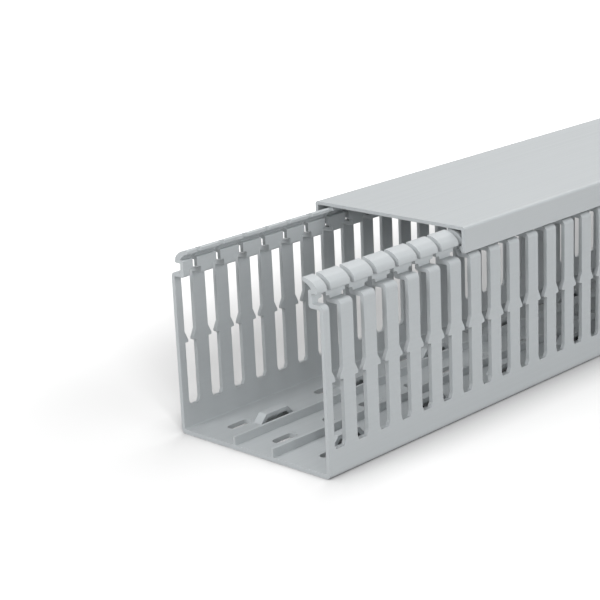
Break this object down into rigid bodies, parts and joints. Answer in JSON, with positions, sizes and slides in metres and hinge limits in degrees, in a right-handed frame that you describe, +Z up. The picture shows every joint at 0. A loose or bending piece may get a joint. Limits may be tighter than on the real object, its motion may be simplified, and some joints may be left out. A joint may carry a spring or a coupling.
{
  "type": "slotted cable trunking",
  "caption": "Slotted wiring trunking, a channel with fingered walls, tie bands and fixing holes in its floor, and a flat clip-on cover slid back.",
  "frame": {"origin": "on the channel's underside, halfway along the channel and midway between its walls", "axes": "+X along the trunking, away from the end that the slid-back cover leaves open; +Y across it; +Z up, out of the open top"},
  "size_m": [1.0814, 0.08, 0.078],
  "materials": {
    "channel_plastic": "matte",
    "cover_plastic": "matte"
  },
  "bodies": {
    "channel": {"slotted_base": "channel_plastic"},
    "cover": {"cover": "cover_plastic"}
  },
  "joints": [
    {"name": "cover_slide", "type": "slide", "parent": "channel", "child": "cover", "axis": [1, 0, 0], "range_m": [-0.0814, 0.93]}
  ]
}
